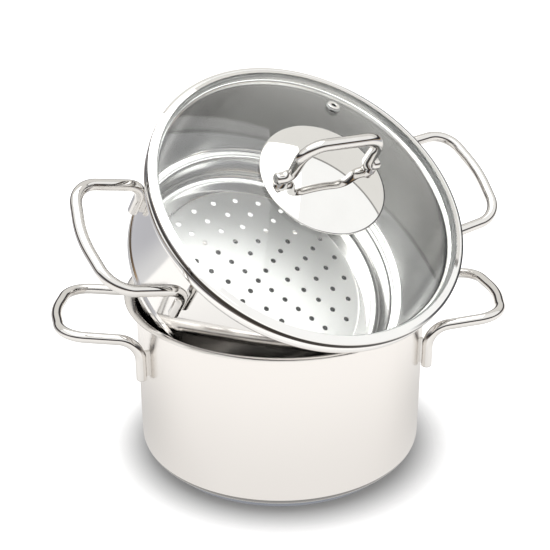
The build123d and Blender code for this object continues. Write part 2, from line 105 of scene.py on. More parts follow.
lampLook = {"energy": 9.0, "size": 1.6, "place": (-0.25, -0.1, 1.5), "tilt": (0.06, -0.16, 0)}
floorLook = {
    # painted shadow: a darker matt colour and a weaker glow near the pot's foot
    "size": 8.0, "matt": (0.86, 0.86, 0.86), "shadowMatt": (0.5, 0.5, 0.5),
    "shadowGlow": 0.06, "glow": 0.55, "glowReach": (0.090, 0.138),
    "sheetX": (-0.62, 0.85), "sheetFront": -1.3, "sheetBlur": 0.06,
    "backSlope": 1.18, "backOffset": 0.623, "backBlur": 0.015, "farWidth": 0.4,
    "sheet": (1.17, 1.15, 1.125), "near": (0.77, 0.77, 0.775), "far": (0.53, 0.53, 0.56),
    "footShade": 0.82, "backShade": 0.24, "backReach": (-0.12, 0.05), "shadeReach": (0.10, 0.33),
}
roomLook = {
    "light": 0.78, "roof": (1.10, 1.10, 1.09), "roofInside": 2.2, "roofStart": 0.27, "roofBlur": 0.06,
    "cameraSide": (0.45, 0.75), "cameraRise": 0.16,
    "back": (0.86, 0.845, 0.81), "backSlope": 0.39, "backBlur": 0.012,
    "edge": (0.30, 0.29, 0.28), "edgeWidth": (0.006, 0.02), "horizon": 0.35,
    "bands": [
        (0.0, (0.50, 0.50, 0.56)), (0.30, (0.40, 0.39, 0.42)), (0.44, (0.55, 0.40, 0.24)),
        (0.52, (0.16, 0.11, 0.07)), (0.60, (0.03, 0.03, 0.03)), (0.80, (0.05, 0.05, 0.06)),
        (1.0, (0.20, 0.20, 0.21)),
    ],
}


# Node building

class nodeValue:
    def __init__(self, tree, socket):
        self.tree = tree
        self.socket = socket

    def maths(self, operation, *values):
        node = self.tree.nodes.new("ShaderNodeMath")
        node.operation = operation
        for place, value in enumerate(values):
            if isinstance(value, nodeValue):
                self.tree.links.new(value.socket, node.inputs[place])
            else:
                node.inputs[place].default_value = value
        return nodeValue(self.tree, node.outputs[0])

    def __add__(self, other):
        return self.maths("ADD", self, other)

    def __radd__(self, other):
        return self.maths("ADD", other, self)

    def __sub__(self, other):
        return self.maths("SUBTRACT", self, other)

    def __rsub__(self, other):
        return self.maths("SUBTRACT", other, self)

    def __mul__(self, other):
        return self.maths("MULTIPLY", self, other)

    def __rmul__(self, other):
        return self.maths("MULTIPLY", other, self)

    def __truediv__(self, other):
        return self.maths("DIVIDE", self, other)

    def __neg__(self):
        return self.maths("MULTIPLY", self, -1.0)

    def __gt__(self, other):
        return self.maths("GREATER_THAN", self, other)

    def __lt__(self, other):
        return self.maths("LESS_THAN", self, other)

    def apply(self, operation, *others):
        return self.maths(operation, self, *others)

    def swing(self, amount):
        # a noise about its middle
        return (self - 0.5) * amount

    def between(self, low, high, clamp=True):
        node = self.tree.nodes.new("ShaderNodeMapRange")
        node.clamp = clamp
        node.interpolation_type = "SMOOTHSTEP" if clamp else "LINEAR"
        self.tree.links.new(self.socket, node.inputs["Value"])
        node.inputs["From Min"].default_value = low
        node.inputs["From Max"].default_value = high
        return nodeValue(self.tree, node.outputs["Result"])

    def out(self, name):
        return nodeValue(self.tree, self.socket.node.outputs[name])


class nodeDesk:
    def __init__(self, tree):
        self.tree = tree
        tree.nodes.clear()

    def make(self, kind, settings=None, inputs=None, output=0):
        node = self.tree.nodes.new(kind)
        for key, value in (settings or {}).items():
            if key == "stops":
                elements = node.color_ramp.elements
                elements.remove(elements[1])
                elements[0].position, elements[0].color = value[0][0], (*value[0][1], 1)
                for place, colour in value[1:]:
                    elements.new(place).color = (*colour, 1)
            else:
                setattr(node, key, value)
        for key, value in (inputs or {}).items():
            if isinstance(value, nodeValue):
                self.tree.links.new(value.socket, node.inputs[key])
            else:
                node.inputs[key].default_value = value
        if not len(node.outputs):
            return node
        return nodeValue(self.tree, node.outputs[output])

    def mixColour(self, factor, low, high, blend="MIX"):
        inputs = {0: factor, 6: low, 7: high}
        return self.make("ShaderNodeMix", {"data_type": "RGBA", "blend_type": blend}, inputs, 2)

    def noise(self, vector, scale, detail, roughness):
        inputs = {"Vector": vector, "Scale": scale, "Detail": detail, "Roughness": roughness}
        return self.make("ShaderNodeTexNoise", None, inputs)

    def stretched(self, vector, factors):
        inputs = {"Vector": vector, "Scale": factors}
        return self.make("ShaderNodeMapping", {"vector_type": "POINT"}, inputs)

    def grey(self, value):
        return self.make("ShaderNodeCombineColor", None, {"Red": value, "Green": value, "Blue": value})


def fromAxis(parts):
    x, y = parts.out("X"), parts.out("Y")
    return (x * x + y * y).apply("SQRT")


# Places of the pieces

azimuthTurn = Matrix.Rotation(radians(basketPose["azimuth"]), 3, "Z")
leanTurn = Matrix.Rotation(radians(basketPose["lean"]), 3, "Y")
basketTurn = azimuthTurn @ leanTurn @ Matrix.Rotation(radians(basketPose["turn"]), 3, "Z")
basketPlace = Matrix.Translation(Vector(basketPose["origin"]) * mm) @ basketTurn.to_4x4()
potPlace = Matrix.Identity(4)


def turnedPlace(place, angle):
    return place @ Matrix.Rotation(radians(angle), 4, "Z")


def domeCentre(look):
    return look["apex"] - look["dome"]


def domeHeight(radius, reach, centre=domeCentre(lidGlass)):
    return centre + sqrt(radius**2 - reach**2)


# Materials

def ownSpace(desk, place):
    # object coordinates in the piece's own frame, its axis on Z
    coordinates = desk.make("ShaderNodeTexCoord", None, None, "Object")
    inputs = {
        "Vector": coordinates,
        "Location": place.to_translation(),
        "Rotation": place.to_euler(),
    }
    return desk.make("ShaderNodeMapping", {"vector_type": "TEXTURE"}, inputs)


def newMaterial(name):
    material = bpy.data.materials.new(name)
    material.use_nodes = True
    return material, nodeDesk(material.node_tree)


def closeMaterial(desk, shader):
    desk.make("ShaderNodeOutputMaterial", None, {"Surface": shader})


sheetGrain = {
    "round": 14.0, "along": 9.0, "cloudScale": 16.0, "speckScale": 900.0,
    "cloudTone": 0.30, "speckTone": 0.03, "depth": 0.00002, "smoothest": 0.04,
}


def sheetSteel(name, place, look):
    # satin or brushed sheet: rubbed lines round the axis or up the wall, faint cloudy wear, soft tint, and
    # painted shade that darkens the inside walls but not the floor
    material, desk = newMaterial(name)
    own = ownSpace(desk, place)
    grain, fine = sheetGrain, look["lineScale"]
    parts = desk.make("ShaderNodeSeparateXYZ", None, {"Vector": own})
    x, y, z = parts.out("X"), parts.out("Y"), parts.out("Z")
    radius = fromAxis(parts)
    ringPlace = {"X": radius * fine, "Y": x * grain["along"], "Z": y * grain["along"]}
    ringPoint = desk.make("ShaderNodeCombineXYZ", None, ringPlace)
    roundPoint = desk.stretched(own, (grain["round"], grain["round"], fine))
    wallPoint = desk.stretched(own, (fine, fine, grain["along"]))
    roundLines, wallLines, ringLines = (
        desk.noise(point, 1.0, detail=4.0, roughness=0.7) for point in (roundPoint, wallPoint, ringPoint)
    )
    clouds = desk.noise(own, grain["cloudScale"], detail=4.0, roughness=0.6)
    specks = desk.noise(own, grain["speckScale"], detail=2.0, roughness=0.5)
    insideMask = look["insideMask"](radius, z)
    floorMask = look["floorMask"](radius, z)
    disc = insideMask * floorMask
    outsideLines = wallLines * look["outsideUp"] + roundLines * (1.0 - look["outsideUp"])
    insideLines = roundLines + (ringLines - roundLines) * floorMask
    lines = outsideLines + (insideLines - outsideLines) * insideMask
    lineDepth = look["outsideDepth"] + (look["insideDepth"] - look["outsideDepth"]) * insideMask
    rough = look["outsideRough"] + (look["insideRough"] - look["outsideRough"]) * insideMask
    rough = rough + (look["floorRough"] - look["insideRough"]) * disc
    rough = rough + lines.swing(look["roughSpread"]) + clouds.swing(look["cloudSpread"])
    metal = 1.0 - disc * (1.0 - look["floorMetal"])
    tone = clouds.swing(grain["cloudTone"]) + lines.swing(look["toneSpread"])
    tone = tone + specks.swing(grain["speckTone"]) + 0.5
    plain = desk.mixColour(tone.apply("MINIMUM", 1.0), (*look["dark"], 1), (*look["light"], 1))
    # painted shade: the inside walls are darkened by an amount that changes up the wall
    upTheWall = z.between(look["shadeFrom"], look["shadeTo"])
    wallShade = look["neckShade"] + (look["insideShade"] - look["neckShade"]) * upTheWall
    shade = 1.0 - insideMask * (1.0 - floorMask) * (1.0 - wallShade)
    colour = desk.mixColour(1.0, plain, desk.grey(shade), "MULTIPLY")
    bump = desk.make(
        "ShaderNodeBump", None,
        {"Height": lines * lineDepth, "Strength": look["bump"], "Distance": grain["depth"]},
    )
    inputs = {
        "Base Color": colour, "Metallic": metal, "Normal": bump,
        "Roughness": rough.apply("MAXIMUM", grain["smoothest"]),
    }
    closeMaterial(desk, desk.make("ShaderNodeBsdfPrincipled", None, inputs))
    return material


def polishedSteel(name, place, look):
    # mirror polish with a faint haze, fine wiping lines and a few soft waves, and where a look asks for it,
    # a painted shadow line in the colour
    material, desk = newMaterial(name)
    own = ownSpace(desk, place)
    haze = desk.noise(own, look["hazeScale"], detail=3.0, roughness=0.6)
    wiping = desk.noise(desk.stretched(own, look["wiping"]), 1.0, detail=3.0, roughness=0.7)
    waves = desk.noise(own, look["waveScale"], detail=1.0, roughness=0.4)
    rough = look["rough"] + haze.swing(look["hazeSpread"]) + wiping.swing(look["wipeSpread"])
    colour = desk.mixColour(haze, (*look["dark"], 1), (*look["light"], 1))
    # painted shadow: a dark colour laid over the mask, standing in for shade
    if "paintedShadow" in look:
        parts = desk.make("ShaderNodeSeparateXYZ", None, {"Vector": own})
        paintedShadow = look["paintedShadow"](fromAxis(parts), parts.out("Z"))
        colour = desk.mixColour(paintedShadow, colour, (*look["paintedShadowTone"], 1))
    height = waves + wiping * look["wipeDepth"]
    bump = desk.make(
        "ShaderNodeBump", None, {"Height": height, "Strength": look["bump"], "Distance": look["waveDepth"]},
    )
    inputs = {
        "Base Color": colour, "Metallic": 1.0, "Normal": bump,
        "Roughness": rough.apply("MAXIMUM", look["smoothest"]),
    }
    closeMaterial(desk, desk.make("ShaderNodeBsdfPrincipled", None, inputs))
    return material


def clearGlass(name, place, look):
    # clear glass with a faint film
    material, desk = newMaterial(name)
    film = desk.noise(ownSpace(desk, place), look["filmScale"], detail=4.0, roughness=0.6)
    inputs = {
        "Base Color": desk.mixColour(film, (*look["dark"], 1), (*look["light"], 1)),
        "Roughness": film * look["filmRough"], "IOR": look["ior"], "Transmission Weight": 1.0,
    }
    closeMaterial(desk, desk.make("ShaderNodeBsdfPrincipled", None, inputs))
    return material


def softSeal(name, place, look):
    material, desk = newMaterial(name)
    grain = desk.noise(ownSpace(desk, place), look["grainScale"], detail=3.0, roughness=0.6)
    bump = desk.make(
        "ShaderNodeBump", None, {"Height": grain, "Strength": look["bump"], "Distance": look["grainDepth"]},
    )
    inputs = {
        "Base Color": desk.mixColour(grain, (*look["dark"], 1), (*look["light"], 1)),
        "Roughness": look["rough"] + grain.swing(look["roughSpread"]), "Normal": bump,
    }
    closeMaterial(desk, desk.make("ShaderNodeBsdfPrincipled", None, inputs))
    return material


def plainMetal(name, place, look):
    material, desk = newMaterial(name)
    grain = desk.noise(ownSpace(desk, place), look["grainScale"], detail=4.0, roughness=0.6)
    inputs = {
        "Base Color": desk.mixColour(grain, (*look["dark"], 1), (*look["light"], 1)),
        "Metallic": 1.0, "Roughness": look["rough"] + grain.swing(look["roughSpread"]),
    }
    closeMaterial(desk, desk.make("ShaderNodeBsdfPrincipled", None, inputs))
    return material


# Masks take the distance from the piece's axis and the height up it, in metres

potLook = {
    "lineScale": 2600.0, "outsideUp": 0.15, "outsideDepth": 0.3, "insideDepth": 1.0,
    "outsideRough": 0.24, "insideRough": 0.20, "floorRough": 0.20, "floorMetal": 1.0,
    "roughSpread": 0.05, "cloudSpread": 0.04, "toneSpread": 0.05, "bump": 0.06,
    "dark": (0.84, 0.815, 0.79), "light": (0.89, 0.865, 0.84),
    # painted shade: the pot's inside wall is darkened evenly
    "insideShade": 0.30, "neckShade": 0.30, "shadeFrom": 0.0, "shadeTo": 0.1,
    "insideMask": lambda radius, z: (radius < 0.1004) * (z > 0.0052),
    "floorMask": lambda radius, z: radius < 0.093,
}
baseShadedLook = {
    "lineScale": 2600.0, "outsideUp": 0.0, "outsideDepth": 0.6, "insideDepth": 0.6,
    "outsideRough": 0.22, "insideRough": 0.25, "floorRough": 0.25, "floorMetal": 1.0,
    "roughSpread": 0.06, "cloudSpread": 0.05, "toneSpread": 0.08, "bump": 0.10,
    # painted shade: the base cap's steel is made dark grey, standing in for the shade at the pot's foot
    "dark": (0.24, 0.26, 0.30), "light": (0.34, 0.36, 0.40),
    "insideShade": 1.0, "neckShade": 1.0, "shadeFrom": 0.0, "shadeTo": 0.1,
    "insideMask": lambda radius, z: z < 0.0004,
    "floorMask": lambda radius, z: radius < 0.2,
}
basketLook = {
    "lineScale": 2200.0, "outsideUp": 0.0, "outsideDepth": 0.2, "insideDepth": 1.0,
    "outsideRough": 0.09, "insideRough": 0.20, "floorRough": 0.36, "floorMetal": 0.8,
    "roughSpread": 0.08, "cloudSpread": 0.05, "toneSpread": 0.10, "bump": 0.14,
    "dark": (0.84, 0.83, 0.815), "light": (0.92, 0.91, 0.895),
    # painted shade: the inside wall is darkened, lightly low on the neck and strongly higher up
    "insideShade": 0.26, "neckShade": 0.80, "shadeFrom": 0.021, "shadeTo": 0.032,
    "insideMask": lambda radius, z: (radius < 0.1006) * (z > 0.0011),
    "floorMask": lambda radius, z: radius < 0.086,
}
rodLook = {
    "hazeScale": 60.0, "wiping": (240.0, 240.0, 30.0), "waveScale": 70.0, "waveDepth": 0.00010,
    "rough": 0.04, "smoothest": 0.01, "hazeSpread": 0.03, "wipeSpread": 0.02, "wipeDepth": 0.02,
    "bump": 0.08, "dark": (0.70, 0.685, 0.665), "light": (0.80, 0.785, 0.765),
}
mirrorLook = {
    "hazeScale": 40.0, "wiping": (60.0, 900.0, 60.0), "waveScale": 26.0, "waveDepth": 0.00030,
    "rough": 0.03, "smoothest": 0.01, "hazeSpread": 0.02, "wipeSpread": 0.02, "wipeDepth": 0.02,
    "bump": 0.10, "dark": (0.82, 0.815, 0.80), "light": (0.89, 0.885, 0.87),
}


def bandPaintedShadow(radius, z):
    # painted shadow: a dark line low on the band's side, standing in for the shade in the gap between the
    # band and the basket's rolled rim
    return (radius > 0.1099) * z.between(0.1007, 0.1011) * (0.1049 - z).between(0.0, 0.0004)


bandLook = {**mirrorLook, "paintedShadowTone": (0.035, 0.028, 0.022), "paintedShadow": bandPaintedShadow}
glassLook = {
    "filmScale": 30.0, "filmRough": 0.012, "ior": 1.45,
    "dark": (0.965, 0.985, 0.98), "light": (0.985, 0.995, 0.99),
}
sealLook = {
    "grainScale": 400.0, "grainDepth": 0.00005, "bump": 0.2, "rough": 0.45, "roughSpread": 0.2,
    "dark": (0.62, 0.62, 0.61), "light": (0.74, 0.74, 0.73),
}
coreLook = {
    "grainScale": 300.0, "rough": 0.42, "roughSpread": 0.2,
    "dark": (0.60, 0.60, 0.61), "light": (0.72, 0.72, 0.73),
}
potSteel = sheetSteel("potSatinSteel", potPlace, potLook)
baseSteel = sheetSteel("baseCapSteel", potPlace, baseShadedLook)
basketSteel = sheetSteel("basketBrushedSteel", basketPlace, basketLook)
potRodSteel = polishedSteel("potRodSteel", potPlace, rodLook)
basketRodSteel = polishedSteel("basketRodSteel", basketPlace, rodLook)
mirrorSteel = polishedSteel("lidMirrorSteel", basketPlace, mirrorLook)
bandSteel = polishedSteel("lidBandSteel", basketPlace, bandLook)
domeGlass = clearGlass("lidDomeGlass", basketPlace, glassLook)
sealSilicone = softSeal("lidSealSilicone", basketPlace, sealLook)
coreMetal = plainMetal("baseCoreMetal", potPlace, coreLook)
print("materials made")


# Mesh building

def outline(*items):
    # corners (r, z) and arcs (centre r, centre z, radius, start, end), with support points on long runs
    gap = meshing["support"]
    points = []
    for item in items:
        if len(item) == 2:
            new = [item]
        else:
            centreR, centreZ, radius, start, end = item
            steps = max(meshing["arcSteps"], ceil(abs(end - start) / meshing["arcStep"]))
            angles = [radians(start + (end - start) * step / steps) for step in range(steps + 1)]
            new = [(centreR + radius * cos(angle), centreZ + radius * sin(angle)) for angle in angles]
        if points:
            run = Vector(new[0]) - Vector(points[-1])
            if run.length < meshing["meeting"]:
                new = new[1:]
            elif run.length > 4 * gap:
                step = run.normalized() * gap
                points += [tuple(Vector(points[-1]) + step), tuple(Vector(new[0]) - step)]
        points += new
    return points


def latheShape(section, turns, closed=True):
    made = bmesh.new()
    ways = [(cos(2 * pi * turn / turns), sin(2 * pi * turn / turns)) for turn in range(turns)]
    rings = []
    for radius, height in section:
        edge, level = radius * mm, height * mm
        if radius < meshing["onAxis"]:
            rings.append([made.verts.new((0, 0, level))])
        else:
            rings.append([made.verts.new((edge * x, edge * y, level)) for x, y in ways])
    pairs = list(zip(rings, rings[1:]))
    if closed:
        pairs.append((rings[-1], rings[0]))
    for low, high in pairs:
        if len(low) == len(high) == 1:
            continue
        for turn in range(turns):
            after = (turn + 1) % turns
            if len(low) == 1:
                made.faces.new((low[0], high[turn], high[after]))
            elif len(high) == 1:
                made.faces.new((low[turn], low[after], high[0]))
            else:
                made.faces.new((low[turn], low[after], high[after], high[turn]))
    return made


def closeShape(made, name, place, sharp=meshing["sharp"]):
    bmesh.ops.remove_doubles(made, verts=made.verts, dist=meshing["weld"])
    bmesh.ops.recalc_face_normals(made, faces=made.faces)
    mesh = bpy.data.meshes.new(name)
    made.to_mesh(mesh)
    made.free()
    mesh.transform(place)
    for face in mesh.polygons:
        face.use_smooth = True
    mesh.set_sharp_from_angle(angle=radians(sharp))
    piece = bpy.data.objects.new(name, mesh)
    bpy.context.scene.collection.objects.link(piece)
    return piece


def finishPiece(piece, body, slotName, material, *nodes):
    piece.data.materials.clear()
    piece.data.materials.append(material)
    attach(piece, body)
    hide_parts(*nodes)
    print("made", piece.name, len(piece.data.polygons), "faces")
    return piece


def bentPath(corners, bends):
    # straight runs joined by tangent arcs
    points = [Vector(corners[0])]
    for before, corner, after, bend in zip(corners, corners[1:], corners[2:], bends):
        corner = Vector(corner)
        inward = (Vector(before) - corner).normalized()
        outward = (Vector(after) - corner).normalized()
        half = inward.angle(outward) / 2
        centre = corner + (inward + outward).normalized() * bend / sin(half)
        start = corner + inward * bend / tan(half) - centre
        end = corner + outward * bend / tan(half) - centre
        sweep = start.angle(end)
        byLength = ceil(sweep * bend / meshing["rodStep"])
        byAngle = ceil(degrees(sweep) / meshing["rodArcStep"])
        steps = max(meshing["rodArcSteps"], byLength, byAngle)
        axis = start.cross(end)
        turns = [Matrix.Rotation(sweep * step / steps, 3, axis) for step in range(steps + 1)]
        points += [centre + turn @ start for turn in turns]
    points.append(Vector(corners[-1]))
    return points


def supported(points, gap=meshing["rodSupport"]):
    kept = [points[0]]
    for point in points[1:]:
        run = point - kept[-1]
        if run.length > 4 * gap:
            step = run.normalized() * gap
            kept += [kept[-1] + step, point - step]
        kept.append(point)
    return kept


def roundedEnds(points, rounding, rod):
    # rings near both ends, with the share of the rod's radius that each keeps
    steps, support = meshing["endSteps"], rounding + meshing["endSupport"]
    angles = [pi / 2 * step / steps for step in range(steps + 1)]
    depths = [rounding * (1 - cos(angle)) for angle in angles] + [support]
    shares = [1 - rounding / rod * (1 - sin(angle)) for angle in angles] + [1.0]
    start, end, clear = points[0], points[-1], meshing["endClear"] * support
    first = (points[1] - start).normalized()
    last = (points[-2] - end).normalized()
    middle = [point for point in points if min((point - start).length, (point - end).length) > clear]
    fromStart = [start + first * depth for depth in depths]
    toEnd = [end + last * depth for depth in reversed(depths)]
    return fromStart + middle + toEnd, shares + [1.0] * len(middle) + list(reversed(shares))


def treeFor(name, numbers):
    tree = bpy.data.node_groups.new(name, "GeometryNodeTree")
    tree.interface.new_socket("Geometry", in_out="INPUT", socket_type="NodeSocketGeometry")
    for label, kind in numbers.items():
        tree.interface.new_socket(label, in_out="INPUT", socket_type=kind)
    tree.interface.new_socket("Geometry", in_out="OUTPUT", socket_type="NodeSocketGeometry")
    return tree, nodeDesk(tree)


def closeTree(desk, shape, given):
    whole = desk.make("GeometryNodeRealizeInstances", None, {"Geometry": shape})
    finish = {"Geometry": whole, "Material": given.out("Finish")}
    painted = desk.make("GeometryNodeSetMaterial", None, finish)
    desk.make("NodeGroupOutput", None, {"Geometry": painted})


def applyTree(piece, tree, values):
    modifier = piece.modifiers.new(tree.name, "NODES")
    modifier.node_group = tree
    for item in tree.interface.items_tree:
        if item.in_out == "INPUT" and item.name in values:
            modifier[item.identifier] = values[item.name]
    bpy.context.view_layer.update()
    evaluated = piece.evaluated_get(bpy.context.evaluated_depsgraph_get())
    mesh = bpy.data.meshes.new_from_object(evaluated)
    piece.modifiers.remove(modifier)
    piece.data = mesh
    return piece


def rodTree():
    numbers = {"Rod Radius": "NodeSocketFloat", "Facets": "NodeSocketInt", "Finish": "NodeSocketMaterial"}
    tree, desk = treeFor("rodTree", numbers)
    given = desk.make("NodeGroupInput")
    path = desk.make("GeometryNodeMeshToCurve", None, {"Mesh": given.out("Geometry")})
    circle = {"Resolution": given.out("Facets"), "Radius": given.out("Rod Radius")}
    profile = desk.make("GeometryNodeCurvePrimitiveCircle", None, circle)
    share = desk.make("GeometryNodeInputNamedAttribute", {"data_type": "FLOAT"}, {"Name": "rodShare"})
    swept = {"Curve": path, "Profile Curve": profile, "Scale": share, "Fill Caps": True}
    tube = desk.make("GeometryNodeCurveToMesh", None, swept)
    closeTree(desk, tube, given)
    return tree


rodBuilder = rodTree()


def rodPiece(name, corners, bends, look, place, finish):
    line, keep = roundedEnds(supported(bentPath(corners, bends)), look["endRounding"], look["rod"])
    mesh = bpy.data.meshes.new(name)
    edges = [(i, i + 1) for i in range(len(line) - 1)]
    mesh.from_pydata([tuple(point * mm) for point in line], edges, [])
    shares = mesh.attributes.new("rodShare", "FLOAT", "POINT")
    shares.data.foreach_set("value", keep)
    piece = bpy.data.objects.new(name, mesh)
    bpy.context.scene.collection.objects.link(piece)
    values = {"Rod Radius": look["rod"] * mm, "Facets": look["facets"], "Finish": finish}
    applyTree(piece, rodBuilder, values)
    made = bmesh.new()
    made.from_mesh(piece.data)
    bpy.data.objects.remove(piece)
    return closeShape(made, name, place, meshing["rodSharp"])


def sideHandle(name, look, place, finish):
    half, halfBar = look["legSpacing"] / 2, look["barSpacing"] / 2
    legX = sqrt(look["legRadius"] ** 2 - half**2)
    foot, corner = look["foot"], look["foot"] + look["leg"]
    barX, bar = legX + look["reach"], corner + look["rise"]
    corners = [
        (legX, half, foot), (legX, half, corner), (barX, halfBar, bar), (barX + look["bow"], 0, bar),
        (barX, -halfBar, bar), (legX, -half, corner), (legX, -half, foot),
    ]
    return rodPiece(name, corners, look["bends"], look, place, finish)


# Pot

def makePotBody():
    look = potBody
    wall, sheet, under = look["bore"] + look["sheet"], look["sheet"], look["underside"]
    corner, cornerR, cornerZ = look["corner"], wall - look["corner"], under + look["corner"]
    ringR = cornerR - look["floorRing"]
    flareR, flareZ = look["flareCentre"]
    flare, end, middle = look["flare"], look["flareEnd"], look["flare"] - sheet / 2
    lip = (flareR + middle * cos(radians(end)), flareZ + middle * sin(radians(end)))
    section = outline(
        (0, under), (ringR, under), (cornerR, cornerZ, corner, 270, 360),
        (flareR, flareZ, flare - sheet, 180, end), (*lip, sheet / 2, end - 180, end),
        (flareR, flareZ, flare, end, 180), (cornerR, cornerZ, corner - sheet, 360, 270),
        (ringR, under + sheet), (0, under + sheet),
    )
    piece = closeShape(latheShape(section, look["turns"]), "potBody", potPlace)
    finishPiece(piece, "pot", "satin_steel", potSteel, "pot_floor", "pot_wall", "pot_rim")


def makePotBase():
    look = potBase
    side, foot, edge, top = look["radius"], look["foot"], look["topEdge"], look["height"]
    section = outline(
        (0, 0), (side - foot, foot, foot, 270, 360), (side - edge, top - edge, edge, 0, 90), (0, top),
    )
    piece = closeShape(latheShape(section, look["turns"]), "potBase", potPlace)
    finishPiece(piece, "pot", "base_steel", baseSteel, "pot_base_cap")


makePotBody()
makePotBase()
for side, angle in (("right", 0), ("left", 180)):
    place = turnedPlace(potPlace, angle)
    piece = sideHandle("potHandle" + side.capitalize(), potHandle, place, potRodSteel)
    finishPiece(piece, "pot", "polished_steel", potRodSteel, "pot_handle_" + side)
print("pot made")


# Basket: a turned sheet with a perforated floor

def perforatedTree():
    numbers = {
        "Disc Radius": "NodeSocketFloat", "Disc Facets": "NodeSocketInt", "Hole Radius": "NodeSocketFloat",
        "Hole Facets": "NodeSocketInt", "Ring Spacing": "NodeSocketFloat", "Ring Count": "NodeSocketInt",
        "Phase": "NodeSocketFloat", "Sheet": "NodeSocketFloat", "Finish": "NodeSocketMaterial",
    }
    tree, desk = treeFor("perforatedFloor", numbers)
    given = desk.make("NodeGroupInput")
    rings = given.out("Ring Count")
    count = rings * (rings + 1) * 2 + 1
    index = desk.make("GeometryNodeInputIndex")
    # point 0 is the centre, and ring k holds 4k points, with 0.001 off to keep whole numbers
    ring = (((index * 2 + 1).apply("SQRT") - 1) / 2 - 0.001).apply("CEIL")
    step = index - ring * (ring - 1) * 2 - 1
    angle = given.out("Phase") + step * (pi / 2) / ring.apply("MAXIMUM", 1.0)
    reach = ring * given.out("Ring Spacing")
    spot = {"X": reach * angle.apply("COSINE"), "Y": reach * angle.apply("SINE"), "Z": 0.0}
    place = desk.make("ShaderNodeCombineXYZ", None, spot)
    points = desk.make("GeometryNodePoints", None, {"Count": count, "Position": place})
    hole, edge = (
        desk.make("GeometryNodeCurvePrimitiveCircle", None, {
            "Resolution": given.out(part + " Facets"), "Radius": given.out(part + " Radius"),
        }) for part in ("Hole", "Disc")
    )
    copies = desk.make("GeometryNodeInstanceOnPoints", None, {"Points": points, "Instance": hole})
    holes = desk.make("GeometryNodeRealizeInstances", None, {"Geometry": copies})
    curves = desk.make("GeometryNodeJoinGeometry", None, {"Geometry": edge})
    desk.tree.links.new(holes.socket, curves.socket.node.inputs["Geometry"])
    disc = desk.make("GeometryNodeFillCurve", None, {"Curve": curves})
    raised = desk.make(
        "GeometryNodeExtrudeMesh", {"mode": "FACES"},
        {"Mesh": disc, "Offset": (0.0, 0.0, 1.0), "Offset Scale": given.out("Sheet"), "Individual": False},
    )
    # the disc's outer side goes, because the turned sheet carries on there
    position = desk.make("ShaderNodeSeparateXYZ", None, {"Vector": desk.make("GeometryNodeInputPosition")})
    outside = raised.out("Side") * (fromAxis(position) > given.out("Disc Radius") * meshing["outerShare"])
    wanted = {"Geometry": raised, "Selection": outside}
    opened = desk.make("GeometryNodeDeleteGeometry", {"domain": "FACE"}, wanted)
    under = desk.make("GeometryNodeFlipFaces", None, {"Mesh": disc})
    both = desk.make("GeometryNodeJoinGeometry", None, {"Geometry": opened})
    desk.tree.links.new(under.socket, both.socket.node.inputs["Geometry"])
    weld = {"Geometry": both, "Distance": meshing["weld"]}
    closeTree(desk, desk.make("GeometryNodeMergeByDistance", None, weld), given)
    return tree


def makeFloorDisc():
    look, holes = basketBody, floorHoles
    disc = bpy.data.objects.new("floorDisc", bpy.data.meshes.new("floorDisc"))
    bpy.context.scene.collection.objects.link(disc)
    applyTree(disc, perforatedTree(), {
        "Disc Radius": look["seam"] * mm, "Disc Facets": look["turns"], "Hole Radius": holes["hole"] * mm,
        "Hole Facets": holes["facets"], "Ring Spacing": holes["spacing"] * mm, "Ring Count": holes["rings"],
        "Phase": radians(holes["phase"]), "Sheet": look["sheet"] * mm, "Finish": basketSteel,
    })
    disc.data.transform(Matrix.Translation((0, 0, look["floorStep"] * mm)))
    return disc


def makeBasketBody():
    look = basketBody
    sheet, wall = look["sheet"], look["wall"]
    bore, beadBore = wall - sheet, look["bead"] - sheet
    corner, cornerR = look["corner"], look["neck"] - look["corner"]
    seam, discR, floorZ = look["seam"], look["floorDisc"], look["floorStep"]
    stepR, top, shoulder = discR + look["stepWidth"], look["neckTop"], look["shoulder"]
    shoulderR = look["neck"] + shoulder
    bead, beadTop, beadEnd = look["beadRound"], look["beadTop"], look["beadEnd"]
    beadR, (beadStart, beadStop) = look["bead"] - bead, look["beadArc"]
    roll = (look["rim"] - bore) / 2
    rollR, rollZ, curl = bore + roll, look["rimHeight"], look["rimCurl"]
    under = roll - sheet
    middle = under + sheet / 2
    curlEnd = (rollR + middle * cos(radians(curl)), rollZ + middle * sin(radians(curl)))
    section = outline(
        (seam, floorZ), (discR, floorZ), (stepR, 0), (cornerR, corner, corner, 270, 360),
        (shoulderR, top, shoulder, 180, 90), (beadR, top + shoulder + bead, bead, beadStart, 0),
        (beadR, beadTop, bead, 0, beadStop), (wall, beadEnd), (wall, rollZ - look["rimSeam"]),
        (rollR, rollZ, under, 180, curl), (*curlEnd, sheet / 2, curl - 180, curl),
        (rollR, rollZ, roll, curl, 180), (bore, beadEnd), (beadBore, beadTop),
        (beadBore, top + shoulder + shoulder), (shoulderR, top, shoulder + sheet, 90, 180),
        (cornerR, corner, corner - sheet, 360, 270), (stepR, sheet),
        (discR, sheet + floorZ), (seam, sheet + floorZ),
    )
    made = latheShape(section, look["turns"], closed=False)
    disc = makeFloorDisc()
    made.from_mesh(disc.data)
    bpy.data.objects.remove(disc)
    piece = closeShape(made, "basketBody", basketPlace)
    nodes = ("steamer_floor", "steamer_neck", "steamer_wall", "steamer_rim")
    finishPiece(piece, "steamer", "basket_steel", basketSteel, *nodes)


makeBasketBody()
for side, angle in (("right", basketHandle["setBack"]), ("left", 180 - basketHandle["setBack"])):
    place = turnedPlace(basketPlace, angle)
    piece = sideHandle("basketHandle" + side.capitalize(), basketHandle, place, basketRodSteel)
    finishPiece(piece, "steamer", "polished_steel", basketRodSteel, "steamer_handle_" + side)
print("basket made")


# Lid

def domePoints(radius, fromR, toR, centre, steps=40):
    stepR = [fromR + (toR - fromR) * step / steps for step in range(steps + 1)]
    return [(r, centre + sqrt(radius**2 - r**2)) for r in stepR]


